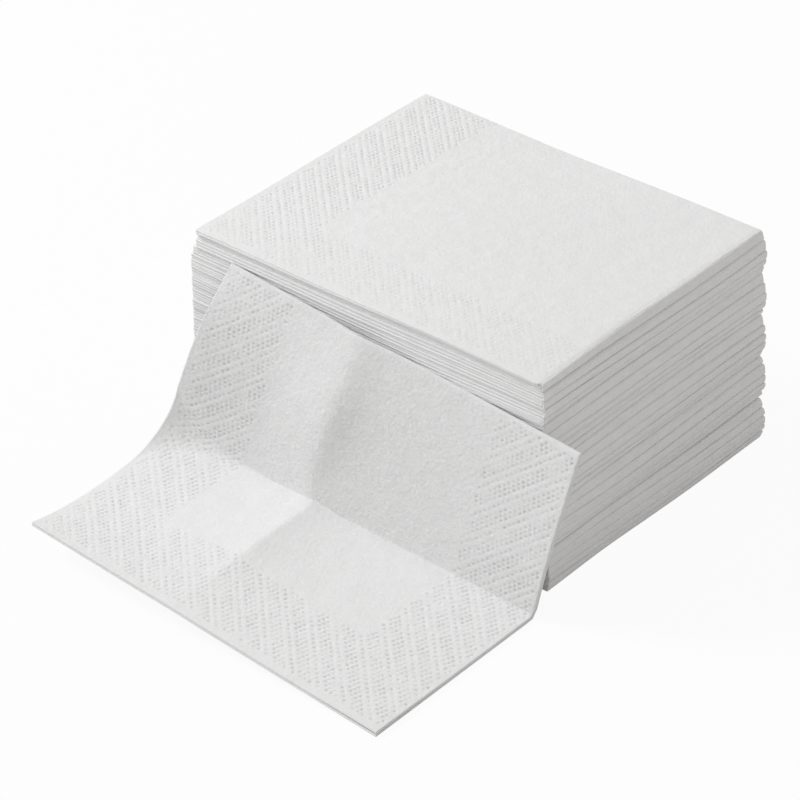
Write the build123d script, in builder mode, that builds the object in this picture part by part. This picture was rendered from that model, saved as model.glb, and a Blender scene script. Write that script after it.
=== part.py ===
from build123d import *
import os
from math import cos, exp, radians, sin, sqrt, tan

# A stack of paper napkins, each one sheet folded in half twice, with one
# opened napkin that leans on the front of the stack and runs out over the table.
# X runs along the long side, -Y is the front, and the stack stands on Z = 0
# with its middle at the origin. Millimetres and degrees.

os.makedirs("parts", exist_ok=True)

# One folded napkin: first fold at +Y, second fold at +X, open edges at -X and -Y.
napkin_length = 165.0
napkin_depth = 134.0
layer = 0.77  # one embossed two-ply layer with the air that its dots hold
layer_gap = 0.18  # air between two layers

# The stack: napkins were counted off in bundles, and each bundle bulges at its folds.
bundles = 5
napkins_per_bundle = 5
bundle_bulge = 2.6  # how far the middle napkin of a bundle stands out along X
edge_stagger = 0.6  # how far front edges stray either way along Y
stagger_turn = 137.5  # degrees from one napkin's stray to the next one's

# The opened napkin: two layers, joined by the first fold along its top.
rise_left = 74.0  # from the crease up to the top fold
rise_right = 70.0
reach_left = 72.0  # from the crease out to the bottom edge
reach_right = 86.6
side_lean = 8.2  # its raised side edges lean this far towards +X
opened_shift = 5.2  # its middle stands this far towards +X on the table
crease_out_left = 23.5  # the crease stands this far in front of the stack
crease_out_right = 12.0
crease_lift = 12.6  # the left end of the crease hangs above the table
corner_lift = 12.6  # and so does the left bottom corner
bend_radius_left = 18.0  # inside radius where the napkin turns up
bend_radius_right = 3.0
bend_fade = 1.5  # how soon the bend sharpens into a crease towards the right
lean_clearance = 0.3  # between the top fold and the stack's front edges
section_count = 16  # bent sections, evenly spaced from its left edge to its right

# The old second fold shows as a ridge across the opened napkin, gentler on its left.
ridge_height = 2.8  # how far it stands up and out from both panels
ridge_place = 0.40  # share of the width, from the left
ridge_spread_left = 0.10
ridge_spread_right = 0.06

packet = 2 * layer + layer_gap
napkin_height = 2 * packet + layer_gap
napkin_count = bundles * napkins_per_bundle
stack_front = -napkin_depth / 2 - edge_stagger


def bundle_shift(index):
    """How far a napkin stands out along X by its place in its bundle."""
    half = napkins_per_bundle / 2
    place = index % napkins_per_bundle + 0.5 - half
    return bundle_bulge * (1 - (place / half) ** 2)


def front_stray(index):
    """How far a napkin strays along Y, different from its neighbours."""
    return edge_stagger * sin(radians(stagger_turn * index))


# Folded napkins: the two layers that the first fold joins are swept round the second fold.
for index in range(napkin_count):
    name = f"napkin_{index + 1:02d}"
    open_x = bundle_shift(index) - napkin_length / 2
    fold_x = open_x + napkin_length - napkin_height / 2
    open_y = front_stray(index) - napkin_depth / 2
    bottom = index * napkin_height
    middle = bottom + packet / 2
    with BuildPart() as napkin:
        with BuildLine(Plane.XZ) as second_fold:
            lower_run = Line((open_x, middle), (fold_x, middle))
            turn = JernArc(lower_run @ 1, lower_run % 1, (packet + layer_gap) / 2, 180)
            Line(turn @ 1, (open_x, bottom + napkin_height - packet / 2))
        with BuildSketch(Plane.YZ.offset(open_x)) as first_fold:
            with Locations((open_y, middle)):
                Rectangle(napkin_depth, packet, align=(Align.MIN, Align.CENTER))
                Rectangle(
                    napkin_depth - layer,
                    layer_gap,
                    align=(Align.MIN, Align.CENTER),
                    mode=Mode.SUBTRACT,
                )
        sweep(path=second_fold.wire())
    napkin.part.label = name
    export_step(napkin.part, f"parts/{name}.step")


def across(left, right, share, fade=1):
    """A size that changes from the left edge to the right, evenly or sooner on the left."""
    return right + (left - right) * (1 - share) ** fade


def ridge(share):
    """Height of the old fold's ridge at a share of the width."""
    spread = ridge_spread_left if share < ridge_place else ridge_spread_right
    return ridge_height * exp(-abs(share - ridge_place) / spread)


# Opened napkin: bent sections from its left edge to its right are joined by ruled faces.
# Each section has a back layer and a front layer, joined by the fold at the top.
with BuildPart() as opened_napkin:
    for step in range(section_count):
        share = step / (section_count - 1)
        bump = ridge(share)
        top_y = stack_front - lean_clearance - bump
        crease_y = stack_front - across(crease_out_left, crease_out_right, share) - bump
        crease_z = across(crease_lift, 0, share) + bump
        bottom_z = across(corner_lift, 0, share) + bump
        rise = across(rise_left, rise_right, share)
        reach = across(reach_left, reach_right, share)
        up = Vector(top_y - crease_y, sqrt(rise**2 - (top_y - crease_y) ** 2)) / rise
        out = Vector(-sqrt(reach**2 - (bottom_z - crease_z) ** 2), bottom_z - crease_z) / reach
        half_corner = radians(up.get_angle(out) / 2)
        inward = (up + out).normalized() / sin(half_corner)
        outside_radius = across(bend_radius_left, bend_radius_right, share, bend_fade) + packet
        side = Plane(
            origin=(opened_shift + (share - 0.5) * napkin_length, 0, 0),
            x_dir=(0, 1, 0),
            z_dir=(cos(radians(side_lean)), 0, -sin(radians(side_lean))),
        )
        with BuildSketch(side):
            with BuildLine():
                skins = []
                for depth in (0, layer, layer + layer_gap, packet):
                    short = layer if 0 < depth < packet else 0
                    crease = Vector(crease_y, crease_z) + inward * depth
                    set_back = depth / tan(half_corner)
                    skins.append(
                        FilletPolyline(
                            crease + out * (reach - set_back),
                            crease,
                            crease + up * (rise - set_back - short),
                            radius=outside_radius - depth,
                        )
                    )
                back, back_inside, front_inside, front = skins
                Line(back @ 0, back_inside @ 0)
                Line(front_inside @ 0, front @ 0)
                Line(back @ 1, front @ 1)
                Line(back_inside @ 1, front_inside @ 1)
            make_face()
    loft(ruled=True)
opened_napkin.part.label = "opened_napkin"
export_step(opened_napkin.part, "parts/opened_napkin.step")
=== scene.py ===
import math
import random

import bmesh
import bpy
import numpy as np
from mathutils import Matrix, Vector


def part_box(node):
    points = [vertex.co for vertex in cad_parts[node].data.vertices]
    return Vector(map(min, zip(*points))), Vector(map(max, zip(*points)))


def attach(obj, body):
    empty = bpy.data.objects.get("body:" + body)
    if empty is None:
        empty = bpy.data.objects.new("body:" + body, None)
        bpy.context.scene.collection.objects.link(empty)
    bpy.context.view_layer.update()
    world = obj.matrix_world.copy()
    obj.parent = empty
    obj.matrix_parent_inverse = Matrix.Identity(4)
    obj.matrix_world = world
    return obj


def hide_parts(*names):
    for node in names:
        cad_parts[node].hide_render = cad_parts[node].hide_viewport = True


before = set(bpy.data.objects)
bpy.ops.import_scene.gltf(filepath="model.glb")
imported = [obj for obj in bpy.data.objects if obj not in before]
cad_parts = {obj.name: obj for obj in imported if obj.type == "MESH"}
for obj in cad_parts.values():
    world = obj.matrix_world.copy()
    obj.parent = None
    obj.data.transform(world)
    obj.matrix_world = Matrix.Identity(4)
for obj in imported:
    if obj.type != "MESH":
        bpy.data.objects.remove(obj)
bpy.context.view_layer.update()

# Folded napkins: soft two-ply tissue, one sheet each, with a border of dots that steel rollers press in.
# A sheet is folded in half to the back, then in half to the right, and the packer drops it on the stack.
# Nothing holds the stack but its weight, so edges stray a little and the folds settle unevenly.
mm = 0.001
napkin_names = sorted(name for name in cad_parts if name.startswith("napkin_"))
napkin_low, napkin_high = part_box(napkin_names[0])
napkin_length, napkin_depth, napkin_height = napkin_high - napkin_low
stack_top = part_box(napkin_names[-1])[1].z
pair_gap = 0.07 * mm  # between the two layers that the first fold joins
fold_gap = 0.14 * mm  # between the halves that the second fold joins
rest_gap = 0.10 * mm  # between one napkin and the next
layer = (napkin_height - rest_gap - fold_gap - 2 * pair_gap) / 4
packet = 2 * layer + pair_gap
first_turn = (layer + pair_gap) / 2  # radius of the first fold, at the middle of its layer
second_turn = (packet + fold_gap) / 2
first_run = napkin_depth - packet / 2  # from an open edge to where the fold starts
second_run = napkin_length - packet - fold_gap / 2
upper_start = second_run + math.pi * second_turn  # where the second fold ends and the upper half starts
first_steps, second_steps = 6, 14  # cells round each fold
soft_edge = 0.10 * mm  # how far a cut edge is rounded
edge_line = 0.5 * mm  # the first line of cells inside a cut edge
dice = random.Random(7)


def fold_lines(run, turn, cell, turns):
    """Where cell lines cross a sheet that is folded once in its middle."""
    flat = np.concatenate([[0, edge_line], np.arange(cell, run - edge_line, cell), [run]])
    bend = run + math.pi * turn * np.arange(1, turns) / turns
    return np.concatenate([flat, bend, 2 * run + math.pi * turn - flat[::-1]])


def flat_sheet(name, across, along):
    """A closed sheet of one layer, flat as it is cut, with a rounded rim."""
    rows, columns = len(across), len(along)
    below = rows * columns
    x, y = np.meshgrid(across, along, indexing="ij")
    upper = np.stack([x, y, np.full_like(x, layer / 2)], axis=-1).reshape(-1, 3)
    lower = upper * (1, 1, -1)
    index = np.arange(below).reshape(rows, columns)
    rim = np.concatenate([index[:-1, 0], index[-1, :-1], index[:0:-1, -1], index[0, :0:-1]])
    outward = np.zeros((rows, columns, 2))
    outward[0, :, 0], outward[-1, :, 0] = -1, 1
    outward[:, 0, 1], outward[:, -1, 1] = -1, 1
    middle = upper[rim] * (1, 1, 0)
    middle[:, :2] += soft_edge * outward.reshape(-1, 2)[rim]
    corners = [index[:-1, :-1], index[1:, :-1], index[1:, 1:], index[:-1, 1:]]
    quads = np.stack(corners, axis=-1).reshape(-1, 4)
    band = 2 * below + np.arange(len(rim))
    ahead = np.roll(np.arange(len(rim)), -1)
    upper_band = np.stack([rim[ahead], rim, band, band[ahead]], axis=-1)
    lower_band = np.stack([band[ahead], band, rim + below, rim[ahead] + below], axis=-1)
    faces = np.concatenate([quads, quads[:, ::-1] + below, upper_band, lower_band])
    mesh = bpy.data.meshes.new(name)
    mesh.from_pydata(np.concatenate([upper, lower, middle]).tolist(), [], faces.tolist())
    return mesh


def refine(mesh, cuts, chosen):
    """Cuts each chosen cell of the sheet's upper face into a grid of small ones."""
    cells = bmesh.new()
    cells.from_mesh(mesh)
    upward = [face for face in cells.faces if face.normal.z > 0.9]
    picked = [face for face in upward if chosen(*face.calc_center_median())]
    edges = list({edge for face in picked for edge in face.edges})
    bmesh.ops.subdivide_edges(cells, edges=edges, cuts=cuts, use_grid_fill=True)
    cells.to_mesh(mesh)
    cells.free()


def mesh_points(mesh):
    """The mesh's points as an array with one row each."""
    points = np.empty(len(mesh.vertices) * 3)
    mesh.vertices.foreach_get("co", points)
    return points.reshape(-1, 3)


def hairpin(distance, offset, run, turn, power=2.0):
    """Bends a run back on itself. Gives the place along the run and the height over its middle plane."""
    angle = np.clip((distance - run) / turn, 0, math.pi)
    back = np.clip(distance - run - math.pi * turn, 0, None)
    reach = turn + offset
    sine, cosine = np.sin(angle), np.cos(angle)
    along = np.clip(distance, None, run) + reach * np.abs(sine) ** (2 / power) - back
    return along, reach * np.sign(cosine) * np.abs(cosine) ** (2 / power)


def fade(distance, reach):
    """One at an edge, falling smoothly to nothing at its reach."""
    share = np.clip(distance / reach, 0, 1)
    return 1 - share * share * (3 - 2 * share)


slow_lift, small_lift, quick_lift = 0.40 * mm, 0.22 * mm, 0.42 * mm  # heights of the waves that layers lie in
flat_foot = 14 * mm  # the napkins lie flatter up to this height


def settle(points):
    """Lets the layers lie unevenly, as loose paper does, and never through each other."""
    x, y, z = points.T
    level = z / napkin_height
    # The waves turn by so many radians in a metre across the sheet, and from one napkin to the next.
    slow = slow_lift * np.sin(23 * x + 31 * y + 0.35 * level)
    small = small_lift * np.sin(61 * x - 47 * y + 0.6 * level)
    uneven = 1.4 * np.sin(19 * y + 0.9 * level) + 0.7 * np.sin(17 * x + level)
    quick = quick_lift * np.sin(5.1 * level + uneven)
    lifted = points.copy()
    lifted[:, 2] += (slow + small + quick) * (1 - fade(z, flat_foot))
    return lifted


# The pressed border: rows of dots on a slant, three close together and one alone, with plain stripes between.
# The rollers' steel pins push the paper in, and it swells up softly round each dot.
dot_unit = 0.55 * mm
dot_rows = (0, 4, 8, 15)  # where rows cross the slant, in units
dot_stripes = (11.5, 18.5)  # middles of the plain stripes, in units
dot_period = 22  # units after which the rows repeat
dot_step = 3  # a row's dots are this many units apart along X and along Y
dot_depth = 0.85 * mm
dot_radius = 0.9  # in units
dot_jitter = 0.15  # in units
dot_push = 0.80  # share of the depth that a usual dot is pressed to
dot_chance, dot_patch = 0.22, 0.18  # how much that changes from dot to dot and from patch to patch
dot_cuts = 5  # each cell is cut this often, down to one unit
cushion_height = 0.22 * mm  # the paper swells between dots
cushion_spread = 2.8  # in square units
stripe_height = 0.03 * mm
stripe_half = 2.2  # in units
plain_margin = 3.2 * mm


def nearest(place, period):
    """How far a place lies from the nearest multiple of a period, on either side."""
    return (place + period / 2) % period - period / 2


def press(x, y, slant, banded):
    """How far the rollers move the paper at a place, and how hard they press, from nothing to one."""
    column, row = x / dot_unit, slant * y / dot_unit
    across = column + row
    push = np.zeros_like(x)
    swell = np.zeros_like(x)
    stripe = np.zeros_like(x)
    for number, start in enumerate(dot_rows):
        aside = nearest(across - start, dot_period)
        beside = nearest(column - aside / 2 - number, dot_step)
        dot_x = x - (aside / 2 + beside) * dot_unit
        dot_y = y - slant * (aside / 2 - beside) * dot_unit
        # Quick waves stand in for chance, with one value for each dot, and slow ones make patches.
        chance_x = np.sin(9100 * dot_x + 1700 * np.sin(6300 * dot_y))
        chance_y = np.sin(7300 * dot_y + 1900 * np.sin(8100 * dot_x))
        patch_x = np.sin(230 * dot_x + 2 * np.sin(170 * dot_y))
        patch_y = np.sin(190 * dot_y + 2 * np.sin(140 * dot_x))
        strength = dot_push + dot_chance * chance_x + dot_patch * patch_x * patch_y
        distance = (aside / 2 + beside - dot_jitter * chance_x) ** 2
        distance += (aside / 2 - beside - dot_jitter * chance_y) ** 2
        push += strength * np.exp(-distance / dot_radius**2) * banded(dot_x, dot_y)
        swell += np.exp(-distance / cushion_spread) * banded(dot_x, dot_y)
    for middle in dot_stripes:
        stripe += np.exp(-((nearest(across - middle, dot_period) / stripe_half) ** 2))
    raised = cushion_height * swell + stripe_height * stripe * banded(x, y)
    return raised - dot_depth * push, push


class Shade:
    """A shader socket that takes part in plain arithmetic."""

    def __init__(self, socket):
        self.socket = socket

    @staticmethod
    def node(tree, kind, settings, *ordered, **named):
        """Adds a node: its settings first, then its sockets' values or links, in order or by name."""
        made = tree.nodes.new(kind)
        for name, value in settings.items():
            setattr(made, name, value)
        sockets = [socket for socket in made.inputs if socket.enabled]
        by_name = {socket.name.replace(" ", "_"): socket for socket in sockets}
        wanted = [*zip(sockets, ordered), *((by_name[name], value) for name, value in named.items())]
        for socket, value in wanted:
            if isinstance(value, Shade):
                tree.links.new(value.socket, socket)
            else:
                socket.default_value = value
        return made

    def math(self, operation, first, second):
        """Adds a Math node."""
        made = self.node(self.socket.id_data, "ShaderNodeMath", {"operation": operation}, first, second)
        return Shade(made.outputs["Value"])

    def __add__(self, other):
        return self.math("ADD", self, other)

    def __radd__(self, other):
        return self.math("ADD", other, self)

    def __sub__(self, other):
        return self.math("SUBTRACT", self, other)

    def __rsub__(self, other):
        return self.math("SUBTRACT", other, self)

    def __mul__(self, other):
        return self.math("MULTIPLY", self, other)

    def __rmul__(self, other):
        return self.math("MULTIPLY", other, self)


thin_paper, thick_paper = (0.80, 0.80, 0.80, 1), (0.92, 0.92, 0.92, 1)
painted_shade_paper = (0.42, 0.42, 0.42, 1)  # painted shade: the colour that the dots' hollows and the opened napkin's raised panel are darkened towards
dot_painted_shade = 0.16  # how far a pressed dot's hollow is darkened towards it, as painted shade
paper_relief = 0.36 * mm  # height of the crepe and the fibres


def tissue_material():
    """White tissue: cloudy where fibres lie thick or thin, and fuzzy, with painted shade in its pressed dots
    and on the opened napkin's raised panel.
    """
    made = bpy.data.materials.new("tissue")
    made.use_nodes = True
    tree = made.node_tree
    finish = tree.nodes["Principled BSDF"]
    place = Shade(Shade.node(tree, "ShaderNodeTexCoord", {}).outputs["Object"])
    stretched = Shade.node(tree, "ShaderNodeVectorMath", {"operation": "MULTIPLY"}, place, (1, 0.035, 1))
    drawn_out = Shade(stretched.outputs["Vector"])

    def noise(where, scale, detail, roughness, distortion=0.0):
        sizes = {"Scale": scale, "Detail": detail, "Roughness": roughness, "Distortion": distortion}
        return Shade(Shade.node(tree, "ShaderNodeTexNoise", {}, Vector=where, **sizes).outputs["Fac"])

    def mark(name):
        return Shade(Shade.node(tree, "ShaderNodeAttribute", {"attribute_name": name}).outputs["Fac"])

    def mix(factor, first, second):
        mixed = Shade.node(tree, "ShaderNodeMix", {"data_type": "RGBA"}, Factor=factor, A=first, B=second)
        return Shade(mixed.outputs["Result"])

    # The scales count the spots in a metre.
    soft = noise(place, 110.0, 1.5, 0.5)
    cloud = noise(place, 210.0, 3.0, 0.6)
    crepe = noise(place, 620.0, 2.0, 0.6)
    grain = noise(place, 950.0, 2.0, 0.6)
    fibre = noise(place, 1500.0, 4.0, 0.7, distortion=1.5)
    streak = noise(drawn_out, 1100.0, 3.0, 0.6)  # fine lines along a fold
    folded, single, pressed = mark("folded"), mark("single"), mark("pressed")

    paper = mix(0.6 * cloud + 0.4 * fibre, thin_paper, thick_paper)
    # Painted shade on the opened napkin's raised panel, darkest at its left and speckled by the grain.
    paper = mix(single * (0.4 * grain - 0.13), paper, painted_shade_paper)
    # Painted shade in the hollows of the pressed dots.
    paper = mix(dot_painted_shade * pressed, paper, painted_shade_paper)
    relief = 1.6 * soft + 0.8 * crepe + 0.4 * fibre
    relief = relief + 1.8 * folded * streak + single * (0.3 * fibre + 0.5 * grain)
    rough = Shade.node(tree, "ShaderNodeBump", {}, Strength=0.9, Distance=paper_relief, Height=relief)
    tree.links.new(paper.socket, finish.inputs["Base Color"])
    tree.links.new((0.86 + 0.12 * fibre).socket, finish.inputs["Roughness"])
    tree.links.new(rough.outputs["Normal"], finish.inputs["Normal"])
    finish.inputs["Specular IOR Level"].default_value = 0.25
    finish.inputs["Sheen Weight"].default_value = 0.08
    finish.inputs["Sheen Roughness"].default_value = 0.6
    return made


tissue = tissue_material()


def add_piece(name, mesh, node, **marks):
    """Makes a finished sheet the piece that stands for its solid."""
    mesh.polygons.foreach_set("use_smooth", np.ones(len(mesh.polygons), bool))
    mesh.materials.append(tissue)
    for mark, values in marks.items():
        mesh.attributes.new(mark, "FLOAT", "POINT").data.foreach_set("value", values.astype(np.float32))
    mesh.update()
    piece = bpy.data.objects.new(name, mesh)
    bpy.context.scene.collection.objects.link(piece)
    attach(piece, "root")
    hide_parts(node)
    return piece


side_cell, deep_cell = 4.4 * mm, 8.0 * mm  # cells of a napkin inside the stack, along X and Y
top_cell = (dot_cuts + 1) * dot_unit
left_band, front_band = 35 * mm, 28 * mm  # widths of the top napkin's pressed border
top_press = 0.85  # the top napkin's dots are a little shallower
edge_stray = 0.105 * mm  # how far one layer's edge stands past another's
stray_reach = 18 * mm
wander_slow, wander_quick = 37, 115  # radians in a metre
any_phase = 6.3  # a wave may start anywhere in its turn
least_square, square_range, square_sway = 2.5, 3.4, 0.25  # how square the folds are pressed
sway_turn = 45  # radians in a metre
lip_out, lip_lift = 0.9 * mm, 0.2 * mm  # how far the top napkin's front edge stands out and up
lip_reach = 26 * mm
pucker_height = 0.05 * mm  # the plain middle wrinkles beside its pressed border
pucker_reach = 45 * mm
bundle = 5  # napkins that were counted off together
bundle_height = bundle * napkin_height
bundle_bulge = 2.0 * mm
corner_straight = 0.7  # share of the bulge that is lost at the front right corner
corner_out, corner_reach = 0.8 * mm, 45 * mm  # how far that corner stands out instead, and its length
right_foot, right_top = 2.6 * mm, -2.4 * mm  # how far the right end stands out at the foot and at the top
right_start, right_length = 0.4 * napkin_length, 0.5 * napkin_length  # where that sets in and how soon
step_length = 0.7 * napkin_length  # the solids' steps along X set in over this length, from the left end
left_foot, left_length = 3.4 * mm, 0.5 * napkin_length  # how far the left end of all but the topmost stands out
left_level, left_fade = 0.86, 0.11  # where that starts to end and how soon, in shares of the height
tuck_level = 0.4  # below this share of the height, the front right corners sit further in
tuck_in, tuck_back, tuck_reach = 2.3 * mm, 2.8 * mm, 60 * mm  # along X, along Y, and how near the corner
tuck_depth = 0.75 * napkin_depth  # the part along X goes this far back
kept_stray = 0.3  # share of the solid's stray along Y that the sheet keeps
most_yaw = 0.12  # degrees


def wander(size):
    """A smooth stray along an edge, different for each one."""
    start, turn = dice.uniform(0, any_phase), dice.uniform(0, any_phase)
    shift = dice.uniform(-size, size)

    def stray(place):
        slow, quick = np.sin(wander_slow * place + start), np.sin(wander_quick * place + turn)
        return shift + 0.5 * size * (slow + 0.5 * quick)

    return stray


def bulge(place):
    """How far a bundle stands out, from nothing at its top and bottom to one at its middle."""
    return 4 * place * (1 - place)


def in_border(x, y):
    """How hard a dot of the top napkin is pressed: nothing outside its border."""
    inside = (x > plain_margin) & (x < napkin_length - plain_margin) & (y > plain_margin)
    return top_press * inside * (y < napkin_depth - 0.5 * plain_margin) * ((x < left_band) | (y < front_band))


def cut_sheet(name, on_top):
    """A napkin's sheet before it is folded. The top one has small cells where its dots show."""
    across_cell, along_cell = (top_cell, top_cell) if on_top else (side_cell, deep_cell)
    across = fold_lines(second_run, second_turn, across_cell, second_steps)
    along = fold_lines(first_run, first_turn, along_cell, first_steps)
    mesh = flat_sheet(name, across, along)
    if on_top:
        refine(mesh, dot_cuts, lambda u, v, z: u > upper_start and v < first_run)
    return mesh


def dress_top(x, y, height, upper, outside):
    """Presses the top napkin's dots, wrinkles its plain middle and lets its front edge stand out."""
    pushed, pressed = press(x, y, 1, in_border)
    # Wrinkles are two crossing waves, each bent by another so that no rows show.
    pucker = np.sin(620 * x + 3 * np.sin(210 * y)) * np.sin(450 * y + 2.5 * np.sin(270 * x))
    plain = np.clip(np.minimum(x - left_band, y - front_band), 0, None)
    wrinkled = pucker_height * pucker * fade(plain, pucker_reach) * (plain > 0)
    lip = fade(y, lip_reach) * upper
    height = height + (pushed + wrinkled) * outside + lip_lift * lip
    return y - lip_out * lip, height, pressed * outside


for order, node in enumerate(napkin_names):
    low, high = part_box(node)
    centre = (low + high) / 2
    level = centre.z / stack_top
    on_top = node == napkin_names[-1]
    mesh = cut_sheet("folded_" + node, on_top)
    u, v, z = mesh_points(mesh).T

    # Both folds, with the second one pressed rounder or squarer along its length.
    strays = [wander(edge_stray) for edge in range(4)]
    open_left = np.where(u < second_run, strays[0](v), strays[1](v))
    open_front = np.where(v < first_run, strays[2](u), strays[3](u))
    y, offset = hairpin(v, z, first_run, first_turn)
    sway = dice.uniform(0, any_phase)
    square = least_square * square_range ** dice.random() * (1 + square_sway * np.sin(sway_turn * y + sway))
    x, height = hairpin(u, offset, second_run, second_turn, square)
    height = -height
    folded = fade(napkin_length - x, 2 * packet)
    pressed = np.zeros_like(u)
    if on_top:
        upper = u > upper_start
        y, height, pressed = dress_top(x, y, height, upper, upper & (v < first_run) & (z > 0))

    # The right end follows its bundle's bulge, and both ends spread towards the foot of the stack.
    right_end = 1 - fade(x - right_start, right_length)
    place = np.clip((centre.z + height) / bundle_height - order // bundle, 0, 1)
    swollen = bulge(place) - bulge((order % bundle + 0.5) / bundle)
    straight = corner_straight * fade(y, corner_reach)
    spread = right_foot + (right_top - right_foot) * level
    x = x + right_end * ((1 - straight) * bundle_bulge * swollen + corner_out * straight + spread)
    tucked = fade(level, tuck_level) * right_end
    x = x - tuck_in * tucked * fade(y, tuck_depth)
    stepped = (1 - straight) * (1 - fade(x, step_length))
    x = x - open_left * fade(x, stray_reach) - (low.x - napkin_low.x) * (1 - stepped)
    x = x - left_foot * fade(level - left_level, left_fade) * fade(x, left_length)
    y = y - open_front * fade(y, stray_reach) + tuck_back * tucked * fade(y, tuck_reach)

    # It was dropped on the stack a little askew.
    yaw = math.radians(dice.uniform(-most_yaw, most_yaw))
    from_x, from_y = x - napkin_length / 2, y - napkin_depth / 2
    turned_x = from_x * math.cos(yaw) - from_y * math.sin(yaw)
    turned_y = from_x * math.sin(yaw) + from_y * math.cos(yaw)
    points = np.stack([centre.x + turned_x, kept_stray * centre.y + turned_y, centre.z + height], axis=-1)
    mesh.vertices.foreach_set("co", settle(points).ravel())
    # The pressed mark carries the top napkin's painted dot shade to the material.
    piece = add_piece("folded_" + node, mesh, node, pressed=pressed, folded=folded)

# Opened napkin: a sheet of the same tissue, opened and set against the stack with its first fold at the top.
# It leans on the front edges, turns at a crease and runs out over the table. Its left side curls up off the
# table, and the old second fold shows as a soft ridge from its top to its bottom.
opened_width, opened_length = 167.5 * mm, 156 * mm
opened_gap = 0.18 * mm  # between its two layers
opened_turn = (layer + opened_gap) / 2
opened_run = opened_length - layer - opened_gap / 2
top_square = 4.0  # how square its top fold is pressed
opened_shift = 6.0 * mm  # its middle stands this far to the right on the table
front_stray = 0.2 * mm  # room for the stack's straying front edges
stack_front = -napkin_depth / 2 - front_stray
lean_clearance = 0.1 * mm
rise_left, rise_right = 74.5 * mm, 71.4 * mm  # from the crease up to the top fold
reach_left, reach_right = 78 * mm, 88.6 * mm  # from the crease out to the bottom edge
out_left, out_right = 21 * mm, 12 * mm  # from the stack's front to the crease
crease_lift, corner_lift = 12.6 * mm, 12.6 * mm  # how high the crease and the bottom edge hang at the left
bend_left, bend_right = 30 * mm, 0.8 * mm  # inside radius where the sheet turns up
bend_fade = 0.075  # share of the width in which the bend sharpens into a crease
side_lean = math.radians(8.2)  # its raised side edges lean to the right
left_shear, shear_width = 3.2 * mm, 0.4  # the top left corner leans further, over a share of the width
easing = 0.05  # share of the height over which a profile's corners are rounded
left_curl = 0.25  # share of the width that comes forward at the left
right_curl, right_curl_start = 0.3, 0.699  # and at the right, with the place where it starts
sag_depth, sag_width, sag_height = 3.2 * mm, 0.5, 0.44  # the last two are shares of the width and the height
opened_left, opened_right, opened_bottom = 34 * mm, 36 * mm, 36 * mm  # widths of its pressed border
crease_share, crease_climb = 0.505, 0.05  # where the dots' slant turns at the left, and its climb from there
raised_press = 0.9  # dots above the crease are a little shallower
panel_start, panel_fade = 0.47 * opened_length, 0.1 * opened_length  # where the raised panel sets in
right_single = 0.4  # the raised panel's grain and painted shade fall to this share at the right
shade_fade_start, shade_fade_width = 0.55 * opened_width, 0.4 * opened_width  # where that sets in, and over what width
crinkle = 0.055 * mm  # the raised panel is a little rough to the eye
border_smooth = 0.75  # share of the roughness that the pressed border lacks
split_lift = 0.5 * mm  # how far the two layers part at the right bottom corner
split_width, split_length = 45 * mm, 60 * mm


def across_width(left, right, share):
    """A size that changes evenly from the left edge to the right."""
    return right + (left - right) * (1 - share)


def eased(height, places, values):
    """Values by height, 0 at the bottom edge and 1 at the top fold, with the corners rounded off."""
    steps = np.linspace(-easing, easing, 9)
    return sum(np.interp(height + step, places, values) for step in steps) / len(steps)


def ridge(share, height):
    """The old fold: it rises gently from the left, falls steeply to the right and fades at the bottom."""
    # Its place and its widths are shares of the width, and it is so many millimetres tall.
    crest = eased(height, [0, 0.48, 0.60, 1.0], [0.425, 0.42, 0.375, 0.405])
    tall_places = [0, 0.12, 0.28, 0.46, 0.54, 0.62, 0.8, 1.0]
    tall = eased(height, tall_places, [0.2, 1.3, 4.4, 4.4, 2.0, 2.6, 5.6, 1.9])
    rounding = np.interp(height, [0.45, 0.6, 0.75], [0.006, 0.018, 0.036])
    rising = np.interp(height, [0.8, 1.0], [0.12, 0.07])
    falling = np.interp(height, [0.45, 0.6], [0.095, 0.05])
    aside = share - crest
    gentle = np.sqrt(aside**2 + rounding**2) - rounding
    return tall * mm * np.exp(-gentle / np.where(aside < 0, rising, falling))


def curl(share, height):
    """Both ends of the raised panel come forward, and the left edge sags between its lifted corners."""
    left = eased(height, [0.38, 0.5, 0.7, 0.85, 1.0], [0, 3.0, 8.0, 6.5, -0.5])
    right = eased(height, [0.56, 0.7, 1.0], [0, 1.4, -0.2])
    forward = left * np.clip(1 - share / left_curl, 0, 1) ** 1.5
    forward = forward + right * np.clip((share - right_curl_start) / right_curl, 0, 1) ** 2
    between = np.sin(math.pi * np.clip(height / sag_height, 0, 1) ** 0.85)
    return forward * mm - sag_depth * between * np.clip(1 - share / sag_width, 0, 1) ** 2


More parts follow.
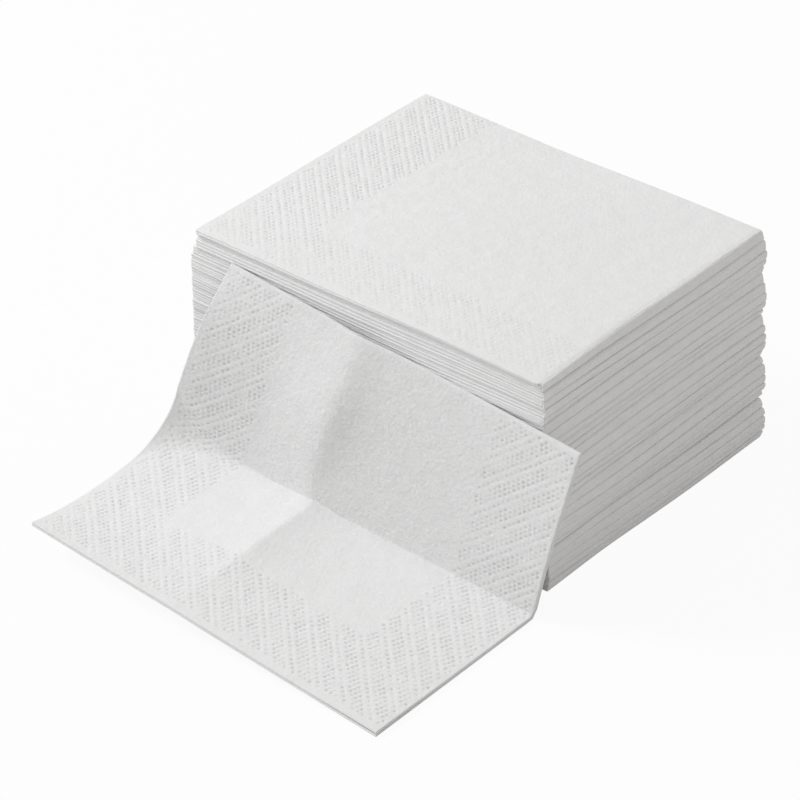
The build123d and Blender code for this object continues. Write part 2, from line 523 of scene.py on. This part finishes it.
def lean(share, run, offset):
    """Where a point of the opened napkin lies, by its share of the width, its run and its offset."""
    share = np.clip(share, 0, 1)
    half_thick = layer + opened_gap / 2
    crease_y = stack_front - across_width(out_left, out_right, share)
    crease_z = across_width(crease_lift, 0, share)
    bottom_z = across_width(corner_lift, 0, share)
    rise = across_width(rise_left, rise_right, share)
    reach = across_width(reach_left, reach_right, share)

    # Directions up the raised panel and out over the table, and half the corner between them.
    up_y = (stack_front - lean_clearance - crease_y) / rise
    up_z = np.sqrt(1 - up_y**2)
    out_z = (bottom_z - crease_z) / reach
    out_y = -np.sqrt(1 - out_z**2)
    half = np.arccos(up_y * out_y + up_z * out_z) / 2
    inward_y = (up_y + out_y) / (2 * np.cos(half)) / np.sin(half) * half_thick
    inward_z = (up_z + out_z) / (2 * np.cos(half)) / np.sin(half) * half_thick

    # The run is flat, then round the bend, then flat again.
    bend = bend_right + (bend_left - bend_right) * np.exp(-share / bend_fade) + half_thick
    set_back = half_thick / np.tan(half)
    tangent = bend / np.tan(half)
    turn = math.pi - 2 * half
    flat_out = reach - set_back - tangent
    whole = flat_out + bend * turn + rise - set_back - tangent
    height = run / opened_length
    offset = offset + ridge(share, height) + curl(share, height)
    run = height * whole
    before = np.clip(run, None, flat_out)
    angle = np.clip((run - flat_out) / bend, 0, turn)
    after = np.clip(run - flat_out - bend * turn, 0, None)
    ahead = before + bend * np.sin(angle) + after * np.cos(angle) - offset * np.sin(angle)
    aside = bend * (1 - np.cos(angle)) + after * np.sin(angle) + offset * np.cos(angle)

    y = crease_y + inward_y + out_y * (reach - set_back) - out_y * ahead + out_z * aside
    z = crease_z + inward_z + out_z * (reach - set_back) - out_z * ahead - out_y * aside
    x = opened_shift + (share - 0.5) * opened_width + z * math.sin(side_lean)
    x = x + left_shear * np.clip(after / rise, 0, 1) ** 0.5 * np.clip(1 - share / shear_width, 0, 1) ** 2
    return np.stack([x, y, z * math.cos(side_lean)], axis=-1)


def in_opened_border(x, y):
    """Whether a dot of the opened napkin lies in its border."""
    inside = (x > plain_margin) & (x < opened_width - 0.5 * plain_margin) & (y > 1.2 * plain_margin)
    return inside * ((x < opened_left) | (x > opened_width - opened_right) | (y < opened_bottom))


right_line = opened_width - edge_line
inner_lines = np.arange(top_cell, right_line, top_cell)
opened_across = np.concatenate([[0, edge_line], inner_lines, [right_line, opened_width]])
opened_along = fold_lines(opened_run, opened_turn, top_cell, first_steps)
mesh = flat_sheet("opened_sheet", opened_across, opened_along)
refine(mesh, dot_cuts, lambda u, v, z: edge_line < u < right_line and edge_line < v < opened_run)
u, v, z = mesh_points(mesh).T
run, offset = hairpin(v, z, opened_run, opened_turn, top_square)
front_layer = v < opened_run
front = front_layer & (z > 0)
below_crease = run < (crease_share + crease_climb * u / opened_width) * opened_length
pushed, pressed = press(u, run, np.where(below_crease, 1, -1), in_opened_border)
raised = 1 - fade(run - panel_start, panel_fade)
# Where the raised panel gets rougher grain and painted shade: fully at its left, less towards the right.
single = raised * (right_single + (1 - right_single) * fade(u - shade_fade_start, shade_fade_width))
crinkled = np.random.default_rng(11).normal(size=len(u)) * (1 - border_smooth * in_opened_border(u, run))
offset = offset + crinkle * crinkled * raised * front
offset = offset + pushed * front * np.where(below_crease, 1, raised_press)
offset = offset + split_lift * front_layer * fade(opened_width - u, split_width) * fade(run, split_length)
mesh.vertices.foreach_set("co", lean(u / opened_width, run, offset).ravel())
# The marks carry painted shade for the dots' hollows and for the raised panel, whose mark also roughens its
# grain.
opened_sheet = add_piece("opened_sheet", mesh, "opened_napkin", pressed=pressed * front, single=single)

# Table: a plain white sweep that the stack stands on, matt and without an edge in view.
# It looks white to the camera and in reflections, as a studio table does, and it keeps the stack's shadow.
table_half = 6.0
table_paint = (0.82, 0.82, 0.82, 1)
table_white = 0.93  # share of plain white that the camera sees, and the rest is shaded paint
table_mesh = bpy.data.meshes.new("table")
corners = [(x * table_half, y * table_half, 0) for x, y in ((-1, -1), (1, -1), (1, 1), (-1, 1))]
table_mesh.from_pydata(corners, [], [(0, 1, 2, 3)])
table = bpy.data.objects.new("table", table_mesh)
bpy.context.scene.collection.objects.link(table)
table_finish = bpy.data.materials.new("table_white")
table_finish.use_nodes = True
tree = table_finish.node_tree
tree.nodes.clear()
path = Shade.node(tree, "ShaderNodeLightPath", {})
seen = Shade(path.outputs["Is Camera Ray"]) + Shade(path.outputs["Is Glossy Ray"])
seen = seen + Shade(path.outputs["Is Transmission Ray"])
matte = Shade.node(tree, "ShaderNodeBsdfDiffuse", {}, Color=table_paint)
glow = Shade.node(tree, "ShaderNodeEmission", {}, Color=(1, 1, 1, 1), Strength=1.0)
layers = Shade(matte.outputs["BSDF"]), Shade(glow.outputs["Emission"])
whole = Shade.node(tree, "ShaderNodeMixShader", {}, table_white * seen, *layers)
Shade.node(tree, "ShaderNodeOutputMaterial", {}, Surface=Shade(whole.outputs["Shader"]))
table_mesh.materials.append(table_finish)

# Light: one large soft lamp high on the left of the stack, in an even pale room.
# The lamp is a little cooler than the room, so the shaded right side looks warmer than the top.
room_colour, room_strength = (1, 0.984, 0.97, 1), 0.57
lamp_colour, lamp_power = (0.97, 0.986, 1.0), 22.0  # in watts
lamp_size, lamp_distance = 0.55, 2.0  # in metres
lamp_target = Vector((0, -30 * mm, 45 * mm))
lamp_direction = Vector((-0.80, -0.36, 0.83)).normalized()
room = bpy.data.worlds.new("room")
room.use_nodes = True
room.node_tree.nodes["Background"].inputs["Color"].default_value = room_colour
room.node_tree.nodes["Background"].inputs["Strength"].default_value = room_strength
bpy.context.scene.world = room
lamp = bpy.data.lights.new("key_lamp", "AREA")
lamp.size = lamp_size
lamp.energy = lamp_power
lamp.color = lamp_colour
lamp_holder = bpy.data.objects.new("key_lamp", lamp)
bpy.context.scene.collection.objects.link(lamp_holder)
lamp_holder.location = lamp_target + lamp_direction * lamp_distance
lamp_holder.rotation_euler = (lamp_target - lamp_holder.location).to_track_quat("-Z", "Y").to_euler()

# Camera: a long lens that looks down on the stack's front right corner, from about 1.4 metres away.
# Its angle, distance and lens are fitted to the stack's corners.
camera_azimuth, camera_elevation = math.radians(39.80), math.radians(33.81)
camera_distance = 1396.9 * mm
camera_lens = 171.0
camera_target = Vector((6.7 * mm, -55.16 * mm, 45.92 * mm))
level_reach = math.cos(camera_elevation)
backward = Vector(
    (
        math.sin(camera_azimuth) * level_reach,
        -math.cos(camera_azimuth) * level_reach,
        math.sin(camera_elevation),
    )
)
camera = bpy.data.objects.new("camera", bpy.data.cameras.new("camera"))
bpy.context.scene.collection.objects.link(camera)
camera.data.lens = camera_lens
camera.data.clip_end = 20
camera.location = camera_target + backward * camera_distance
camera.rotation_euler = backward.to_track_quat("Z", "Y").to_euler()
bpy.context.scene.camera = camera
bpy.context.scene.view_settings.view_transform = "Standard"
